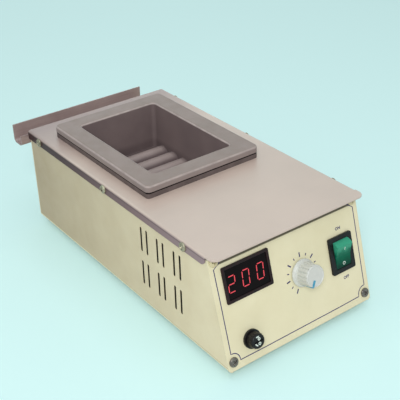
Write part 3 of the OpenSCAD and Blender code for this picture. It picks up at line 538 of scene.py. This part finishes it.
def frame_line():
    """Printed line that frames the panel and bows round its lower screws"""
    side, foot, shoulder, top, bow = 74.2, 6.8, 87.6, 93.2, 7.0
    path = [(-69.6, 90.6), (-74.4, shoulder), (-side, 60.0), (-side, 30.0)]
    path += arc(-SCREW_X, SCREW_LOW, bow, 98, -9, 12)
    path += [(-40.0, foot), (0.0, foot), (40.0, foot)]
    path += arc(SCREW_X, SCREW_LOW, bow, 189, 82, 12)
    path += [(side, 30.0), (side, 60.0), (side, shoulder), (69.4, 91.0)]
    path += [(66.5, top), (0.0, top), (-66.5, top)]
    bm = bmesh.new()
    stroke(bm, path, 0.8, PRINT_LOW, PRINT_HIGH, closed=True)
    piece("panel_frame_line", mesh_from("panel_frame_line", bm, PANEL), "print")


def panel_hem():
    """Straight lower edge of the front panel between its corners, its outer edge rounded"""
    foot = BEND * (1 + math.sin(PANEL_LEAN)) / math.cos(PANEL_LEAN)
    half, r = 75.35, 0.8
    turns = [math.pi / 8 * k for k in range(1, 5)]
    profile = [(0, foot), (-SHEET, foot), (-SHEET, 0), (-r, 0)]
    profile += [(r * math.sin(a) - r, r - r * math.cos(a)) for a in turns]
    bm = bmesh.new()
    ends = [[bm.verts.new((x, up, out)) for out, up in profile] for x in (-half, half)]
    for i in range(len(profile)):
        j = (i + 1) % len(profile)
        bm.faces.new((ends[0][i], ends[0][j], ends[1][j], ends[1][i]))
    for end in ends:
        bm.faces.new(end)
    piece("front_panel_hem", mesh_from("front_panel_hem", bm, PANEL), "cream_front")


def dial_way(mark):
    """Direction of a mark of the dial from the knob's axis, clockwise from the first"""
    angle = math.radians(DIAL_START + DIAL_STEP * mark)
    return Vector((math.sin(angle), math.cos(angle)))


def dial_ticks():
    """Ring of long and short ticks by turns"""
    bm = bmesh.new()
    c = Vector(KNOB)
    for mark in range(DIAL_MARKS):
        d = dial_way(mark)
        r0, r1, width = (14.2, 16.3, 0.85) if mark % 2 else (13.9, 17.9, 1.15)
        stroke(bm, [c + d * r0, c + d * r1], width, PRINT_LOW, PRINT_HIGH)
    piece("dial_ticks", mesh_from("dial_ticks", bm, PANEL), "print")


def words(name, text, x, up, size=3.6):
    """Generic switch words, from Blender's own plain font"""
    half_thick, level = 0.035, 0.02
    curve = bpy.data.curves.new(name + "_curve", "FONT")
    curve.body = text
    curve.size = size
    curve.align_x = "CENTER"
    curve.align_y = "CENTER"
    curve.extrude = half_thick
    curve.offset = size * 0.03
    holder = bpy.data.objects.new(name + "_curve", curve)
    bpy.context.scene.collection.objects.link(holder)
    bpy.context.view_layer.update()
    mesh = bpy.data.meshes.new_from_object(holder.evaluated_get(bpy.context.evaluated_depsgraph_get()))
    bpy.data.objects.remove(holder)
    mesh.name = name
    mesh.transform(PANEL @ Matrix.Translation((x, up, level)))
    piece(name, mesh, "print")


# both ends of each bar: digit widths across, half digit heights up
SEGMENTS = {"a": ((0, 2), (1, 2)), "b": ((1, 2), (1, 1)), "c": ((1, 1), (1, 0)), "d": ((0, 0), (1, 0)),
            "e": ((0, 1), (0, 0)), "f": ((0, 2), (0, 1)), "g": ((0, 1), (1, 1))}
DIGIT_SEGMENTS = {"2": "abged", "0": "abcdef"}
DIGIT_OFFSETS = (-15.8, -1.7, 12.9)


def lit_digits(reading="200"):
    """Seven-segment reading that glows through the window"""
    width, height, slant, thick, gap = 6.5, 13.2, 0.07, 0.82, 0.5
    low, high = 0.58, 0.64
    middle = DISPLAY[1] - 0.4
    bm = bmesh.new()
    for char, offset in zip(reading, DIGIT_OFFSETS):
        for seg in DIGIT_SEGMENTS[char]:
            a, b = (Vector(((x - 0.5) * width, (y - 1) * height / 2)) for x, y in SEGMENTS[seg])
            d = (b - a).normalized()
            a, b = a + d * gap, b - d * gap
            side = Vector((-d.y, d.x)) * thick / 2
            tip = d * thick / 2
            outline = [a, a + tip + side, b - tip + side, b, b - tip - side, a + tip - side]
            prism(bm, [(DISPLAY[0] + offset + q.x + q.y * slant, middle + q.y) for q in outline], low, high)
    piece("lit_digits", mesh_from("lit_digits", bm, PANEL), "digits")


def knob_pointer():
    """Coloured line let into the cap and down the grip, turned to the dial's first mark"""
    half_width, start, cap_edge, grip_skin = 1.0, 3.4, 8.9, 9.95
    cap, skirt = 16.5, 4.6
    c = Vector(KNOB)
    d = dial_way(0)
    side = Vector((-d.y, d.x)) * half_width
    bm = bmesh.new()
    for r0, r1, low, high in ((start, cap_edge, cap - 0.5, cap + 0.03),
                              (cap_edge, grip_skin, skirt, cap - 0.45)):
        outline = [c + d * r0 + side, c + d * r1 + side, c + d * r1 - side, c + d * r0 - side]
        prism(bm, outline, low, high)
    piece("knob_pointer", mesh_from("knob_pointer", bm, PANEL), "pointer", body="knob")


def rocker_marks():
    """Ring on the pressed half and bar on the raised half of the rocker"""
    pivot_in, tilt = 2.8, math.radians(15)
    middle_face, rise_per_mm = 5.915, 0.145
    off_middle, across = 7.2, 0.4
    ring, bar = arc(0, 0, 1.25, 0, 360, 32)[:-1], [(0, -1.5), (0, 1.5)]
    face = middle_face + off_middle * rise_per_mm
    slope = math.atan(rise_per_mm)
    base = PANEL @ Matrix.Translation((*SWITCH, -pivot_in)) @ Matrix.Rotation(tilt, 4, "X")
    both = bmesh.new()
    for end, path, width, closed in ((-1, ring, 0.5, True), (1, bar, 0.6, False)):
        mark = bmesh.new()
        stroke(mark, path, width, -0.05, 0.06, closed=closed)
        place = Matrix.Translation((across, end * off_middle, face)) @ Matrix.Rotation(end * slope, 4, "X")
        mesh = mesh_from("rocker_mark", mark, base @ place)
        both.from_mesh(mesh)
    piece("rocker_marks", mesh_from("rocker_marks", both), "mark", body="rocker")


def lathe(bm, profile, steps=40):
    """Turned solid round the Z axis from a profile that starts and ends on it"""
    rings = []
    for r, z in profile:
        if r < 1e-6:
            rings.append([bm.verts.new((0, 0, z))])
        else:
            rings.append([bm.verts.new((r * math.cos(2 * math.pi * i / steps),
                                        r * math.sin(2 * math.pi * i / steps), z)) for i in range(steps)])
    for a, b in zip(rings, rings[1:]):
        for i in range(steps):
            j = (i + 1) % steps
            if len(a) == 1:
                bm.faces.new((a[0], b[j], b[i]))
            elif len(b) == 1:
                bm.faces.new((a[i], a[j], b[0]))
            else:
                bm.faces.new((a[i], a[j], b[j], b[i]))


def cut(mesh, cutter):
    """Boolean difference of two closed meshes"""
    a = bpy.data.objects.new("cut_a", mesh)
    b = bpy.data.objects.new("cut_b", cutter)
    for o in (a, b):
        bpy.context.scene.collection.objects.link(o)
    m = a.modifiers.new("cut", "BOOLEAN")
    m.operation = "DIFFERENCE"
    m.solver = "EXACT"
    m.object = b
    bpy.context.view_layer.update()
    out = bpy.data.meshes.new_from_object(a.evaluated_get(bpy.context.evaluated_depsgraph_get()))
    for o in (a, b):
        bpy.data.objects.remove(o)
    return out


def cross_outline(wing, half):
    """Outline of a plus sign"""
    quarter = [(wing, -half), (wing, half), (half, half)]
    turns = ((1, 0), (0, 1), (-1, 0), (0, -1))
    return [(x * c - y * s, x * s + y * c) for c, s in turns for x, y in quarter]


def cross_screw(head_d, head_h, shank_d, length):
    """Pan head with a tapered cross recess; seat at the origin, head towards +Z"""
    r, shank, point = head_d / 2, shank_d / 2, 0.5
    dome = [(r * math.cos(a), head_h * 0.32 + head_h * 0.68 * math.sin(a))
            for a in [math.radians(v) for v in (0, 12, 25, 40, 55, 70, 82)]]
    profile = [(0, -length), (shank - point, -length), (shank, point - length), (shank, 0),
               (r - 0.2, 0), (r, 0.15)]
    bm = bmesh.new()
    lathe(bm, profile + dome + [(0, head_h)])
    wing, half, depth = r * 0.56, r * 0.13, head_h * 0.82
    levels = [[(x, y, z) for x, y in cross_outline(wing * scale, half * (0.55 + 0.45 * scale))]
              for scale, z in ((0.5, head_h - depth), (1.25, head_h + 0.5))]
    recess = bmesh.new()
    loft(recess, levels)
    return cut(mesh_from("head", bm), mesh_from("cross", recess))


def rounded(w, d, r, steps=6):
    """Rectangle with round corners, as points round its middle"""
    pts = []
    for sx, sy, start in ((1, 1, 0), (-1, 1, 90), (-1, -1, 180), (1, -1, 270)):
        pts += arc(sx * (w / 2 - r), sy * (d / 2 - r), r, start, start + 90, steps)
    return pts


def loft(bm, rings, loop=False):
    """Skin through rings of equally many points; loop joins the last ring to the first"""
    rows = [[bm.verts.new(p) for p in ring] for ring in rings]
    n = len(rows[0])
    pairs = list(zip(rows, rows[1:])) + ([(rows[-1], rows[0])] if loop else [])
    for a, b in pairs:
        for i in range(n):
            j = (i + 1) % n
            bm.faces.new((a[i], a[j], b[j], b[i]))
    if not loop:
        bm.faces.new(rows[0][::-1])
        bm.faces.new(rows[-1])


def collar():
    """Mineral board round the pot, stepped back under the rim so that a dark groove shows"""
    low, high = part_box("rim_collar")
    w, d, height = (v / MM for v in high - low)
    corner, bevel, shoulder = 3.0, 0.5, height - 1.0
    groove, groove_corner = 4.2, 1.6
    opening = (105, 144, 6)
    levels = [(w, d, corner, 0), (w, d, corner, shoulder - 0.3),
              (w - bevel, d - bevel, 2.8, shoulder),
              (w - groove, d - groove, groove_corner, shoulder),
              (w - groove, d - groove, groove_corner, height),
              (*opening, height), (*opening, 0)]
    bm = bmesh.new()
    loft(bm, [[(x, y, z) for x, y in rounded(a, b, r)] for a, b, r, z in levels], loop=True)
    place = Matrix.Translation(((low.x + high.x) / 2, (low.y + high.y) / 2, low.z)) @ Matrix.Scale(MM, 4)
    made = piece("rim_collar_grooved", mesh_from("rim_collar_grooved", bm, place), "collar")
    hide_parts("rim_collar")


def knob_ring(r, z, around, ribs=0, groove=0.0):
    """Circle of points at a height, cut by narrow grooves between its ribs"""
    half_groove = 0.17
    ring = []
    for k in range(around):
        a = 2 * math.pi * k / around
        turn = (k * ribs / around) % 1.0
        cut_in = groove * max(0.0, 1 - abs(turn - 0.5) / half_groove)
        ring.append(((r - cut_in) * math.cos(a), (r - cut_in) * math.sin(a), z))
    return ring


def ribbed_knob(ribs=16, around=192):
    """Push-on knob: thin skirt, grip with narrow grooves between broad ribs, raised ring round its cap"""
    profile = [(7.6, 0.7), (11.7, 0.7), (12.0, 1.1), (11.9, 1.9), (11.1, 2.9), (10.4, 3.7), (9.9, 4.7),
               (9.86, 5.1), (9.55, 14.6), (9.5, 15.2), (9.2, 15.9), (8.7, 16.48), (8.3, 16.5), (8.0, 16.2),
               (7.7, 16.18)]
    bore = [(3.08, 14.4), (3.08, 4.3), (7.6, 4.3)]
    grip_low, grip_high, groove = 4.9, 15.3, 0.75
    rings = [knob_ring(r, z, around) for r, z in bore]
    rings += [knob_ring(r, z, around, ribs, groove if grip_low < z < grip_high else 0.0) for r, z in profile]
    bm = bmesh.new()
    loft(bm, rings)
    place = PANEL @ Matrix.Translation((*KNOB, 0))
    made = piece("heat_knob_ribbed", mesh_from("heat_knob_ribbed", bm, place), "knob", body="knob")
    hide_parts("heat_knob")


def fuse_marks():
    """Plain white figure and turning mark on the fuse cap's face, clear of its slot"""
    face = 9.5
    low, high = face - 0.03, face + 0.05
    x, up = FUSE
    bm = bmesh.new()
    stroke(bm, arc(x, up, 3.5, 196, 248, 8), 0.95, low, high)
    stroke(bm, [(x - 1.9, up + 4.1), (x + 0.9, up + 4.1)], 1.0, low, high)
    for ring_up in (-2.0, 2.0):
        stroke(bm, arc(x + 0.7, up + ring_up, 0.95, 0, 360, 20)[:-1], 0.75, low, high, closed=True)
    piece("fuse_cap_marks", mesh_from("fuse_cap_marks", bm, PANEL), "mark", body="fuse_carrier")


def screw_group(name, mesh, places, look, node):
    """One piece of equal screws; each place is a matrix with the head towards its +Z"""
    bm = bmesh.new()
    for i, place in enumerate(places):
        copy = mesh.copy()
        copy.transform(place @ Matrix.Rotation(math.radians(35 + 47 * i), 4, "Z"))
        bm.from_mesh(copy)
        bpy.data.meshes.remove(copy)
    made = piece(name, mesh_from(name, bm), look)
    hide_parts(node)


def front_screws(screw):
    """Four heads on the panel"""
    places = [PANEL @ Matrix.Translation((x, up, 0)) for x, up in PANEL_SCREWS]
    screw_group("front_screws_cross", screw, places, "dark_screw", "front_panel_screws")


def rear_facing(x, seat, z):
    """Place of a screw whose head looks to the rear"""
    return Matrix.Translation((x, seat, z)) @ Matrix.Rotation(math.radians(-90), 4, "X") @ Matrix.Scale(MM, 4)


def rear_screws(screw):
    """Four heads on the rear panel; the inset is half a head of the CAD's screws"""
    low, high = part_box("rear_panel_screws")
    seat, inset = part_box("rear_panel")[1].y, 0.0043
    places = [rear_facing(x, seat, z)
              for x in (low.x + inset, high.x - inset) for z in (low.z + inset, high.z - inset)]
    screw_group("rear_screws_cross", screw, places, "dark_screw", "rear_panel_screws")


def cover_screws(screw):
    """Three heads on each flange of the cover"""
    low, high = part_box("cover_screws")
    skin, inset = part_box("top_cover")[1].x, 0.004
    rows = (low.y + inset, (low.y + high.y) / 2, high.y - inset)
    z = (low.z + high.z) / 2
    places = [Matrix.Translation((s * skin, y, z)) @ Matrix.Rotation(math.radians(s * 90), 4, "Y")
              @ Matrix.Scale(MM, 4) for s in (-1, 1) for y in rows]
    screw_group("cover_screws_cross", screw, places, "chrome", "cover_screws")


def small_screws(screw):
    """The rail's and the inlet's pairs; seat and inset are measured in from the CAD's screws"""
    for node, seat_in, inset in (("rail_screws", 0.002, 0.0028), ("inlet_screws", 0.0019, 0.0031)):
        low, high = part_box(node)
        z = (low.z + high.z) / 2
        places = [rear_facing(x, high.y - seat_in, z) for x in (low.x + inset, high.x - inset)]
        screw_group(node + "_cross", screw, places, "chrome", node)


def all_screws():
    """Three sizes of one screw"""
    panel_screw = cross_screw(8.4, 2.5, 4, 7.8)
    front_screws(panel_screw)
    rear_screws(panel_screw)
    cover_screws(cross_screw(7.9, 2.5, 4, 5.8))
    small_screws(cross_screw(5.6, 1.9, 3, 5.8))


# ---- room, light and camera ----

BACKGROUND = srgb(203, 240, 242)


def backdrop_factor(tree):
    """One where the camera sees a surface straight, through glass or mirrored, else zero"""
    path = tree.nodes.new("ShaderNodeLightPath")
    factor = path.outputs["Is Camera Ray"]
    for ray in ("Is Transmission Ray", "Is Glossy Ray"):
        larger = tree.nodes.new("ShaderNodeMath")
        larger.operation = "MAXIMUM"
        tree.links.new(factor, larger.inputs[0])
        tree.links.new(path.outputs[ray], larger.inputs[1])
        factor = larger.outputs[0]
    return factor


def floor_material():
    """Background colour where it is seen, pale neutral where it only reflects light"""
    mat = bpy.data.materials.new("floor_pale")
    mat.use_nodes = True
    tree = mat.node_tree
    bsdf = tree.nodes["Principled BSDF"]
    bsdf.inputs["Roughness"].default_value = 0.9
    bsdf.inputs["Specular IOR Level"].default_value = 0.0
    factor = backdrop_factor(tree)
    mix = tree.nodes.new("ShaderNodeMix")
    mix.data_type = "RGBA"
    mix.inputs[6].default_value = srgb(226, 226, 222)
    mix.inputs[7].default_value = BACKGROUND
    tree.links.new(factor, mix.inputs[0])
    for socket in ("Base Color", "Emission Color"):
        tree.links.new(mix.outputs[2], bsdf.inputs[socket])
    glow = tree.nodes.new("ShaderNodeMath")
    glow.operation = "MULTIPLY"
    glow.inputs[1].default_value = 0.1
    tree.links.new(factor, glow.inputs[0])
    tree.links.new(glow.outputs[0], bsdf.inputs["Emission Strength"])
    return mat


def room():
    """Wide level floor"""
    bm = bmesh.new()
    bmesh.ops.create_grid(bm, x_segments=8, y_segments=8, size=6.0)
    mesh = mesh_from("floor", bm)
    floor = bpy.data.objects.new("floor", mesh)
    bpy.context.scene.collection.objects.link(floor)
    mesh.materials.append(floor_material())


def surroundings():
    """Soft light from all round, with the background colour where it is seen"""
    world = bpy.data.worlds.new("studio")
    bpy.context.scene.world = world
    world.use_nodes = True
    tree = world.node_tree
    tree.nodes.clear()
    out = tree.nodes.new("ShaderNodeOutputWorld")
    mixer = tree.nodes.new("ShaderNodeMixShader")
    tree.links.new(backdrop_factor(tree), mixer.inputs[0])
    for socket, colour, strength in ((1, srgb(244, 240, 236), 0.55), (2, BACKGROUND, 1.0)):
        light = tree.nodes.new("ShaderNodeBackground")
        light.inputs["Color"].default_value = colour
        light.inputs["Strength"].default_value = strength
        tree.links.new(light.outputs[0], mixer.inputs[socket])
    tree.links.new(mixer.outputs[0], out.inputs["Surface"])


def lamp(name, place, target, size, power, colour):
    """Rectangular lamp that faces its target"""
    data = bpy.data.lights.new(name, "AREA")
    data.shape = "RECTANGLE"
    data.size, data.size_y = size
    data.energy = power
    data.color = colour
    obj = bpy.data.objects.new(name, data)
    bpy.context.scene.collection.objects.link(obj)
    obj.location = place
    obj.rotation_euler = (Vector(target) - Vector(place)).to_track_quat("-Z", "Y").to_euler()


def lights():
    """Key from the front left, soft fill from above, weak light from behind"""
    lamp("key", (-1.05, -1.25, 1.3), (0, -0.05, 0.06), (0.6, 0.6), 20, (1.0, 0.985, 0.96))
    lamp("overhead", (-0.1, 0.0, 1.9), (0, 0.0, 0.1), (2.0, 2.0), 9, (1.0, 0.99, 0.98))
    lamp("rear", (1.0, 1.7, 0.55), (0, 0.1, 0.05), (0.8, 0.5), 2.2, (1.0, 0.99, 0.98))


CAMERA_AZ, CAMERA_EL, CAMERA_ROLL = math.radians(-36.19), math.radians(30.18), math.radians(-1.67)
CAMERA_AT = (-0.4023, -0.5651, 0.4692)
LENS, SENSOR = 78.2424, 36


def camera():
    """View from the front left and above, rolled a little"""
    back = Vector((math.sin(CAMERA_AZ) * math.cos(CAMERA_EL), -math.cos(CAMERA_AZ) * math.cos(CAMERA_EL),
                   math.sin(CAMERA_EL)))
    right = Vector((math.cos(CAMERA_AZ), math.sin(CAMERA_AZ), 0))
    up = back.cross(right)
    c, s = math.cos(CAMERA_ROLL), math.sin(CAMERA_ROLL)
    x, y = right * c + up * s, up * c - right * s
    data = bpy.data.cameras.new("camera")
    data.sensor_width = SENSOR
    data.lens = LENS
    data.clip_start, data.clip_end = 0.01, 50
    obj = bpy.data.objects.new("camera", data)
    bpy.context.scene.collection.objects.link(obj)
    m = Matrix((x, y, back)).transposed().to_4x4()
    m.translation = CAMERA_AT
    obj.matrix_world = m
    bpy.context.scene.camera = obj
    bpy.context.scene.view_settings.view_transform = "Standard"


dress_nodes()
frame_line()
panel_hem()
dial_ticks()
words("switch_word_on", "ON", 54.3, 75.1)
words("switch_word_off", "OFF", 55.8, 30.0)
lit_digits()
ribbed_knob()
knob_pointer()
rocker_marks()
collar()
fuse_marks()
all_screws()
room()
surroundings()
lights()
camera()
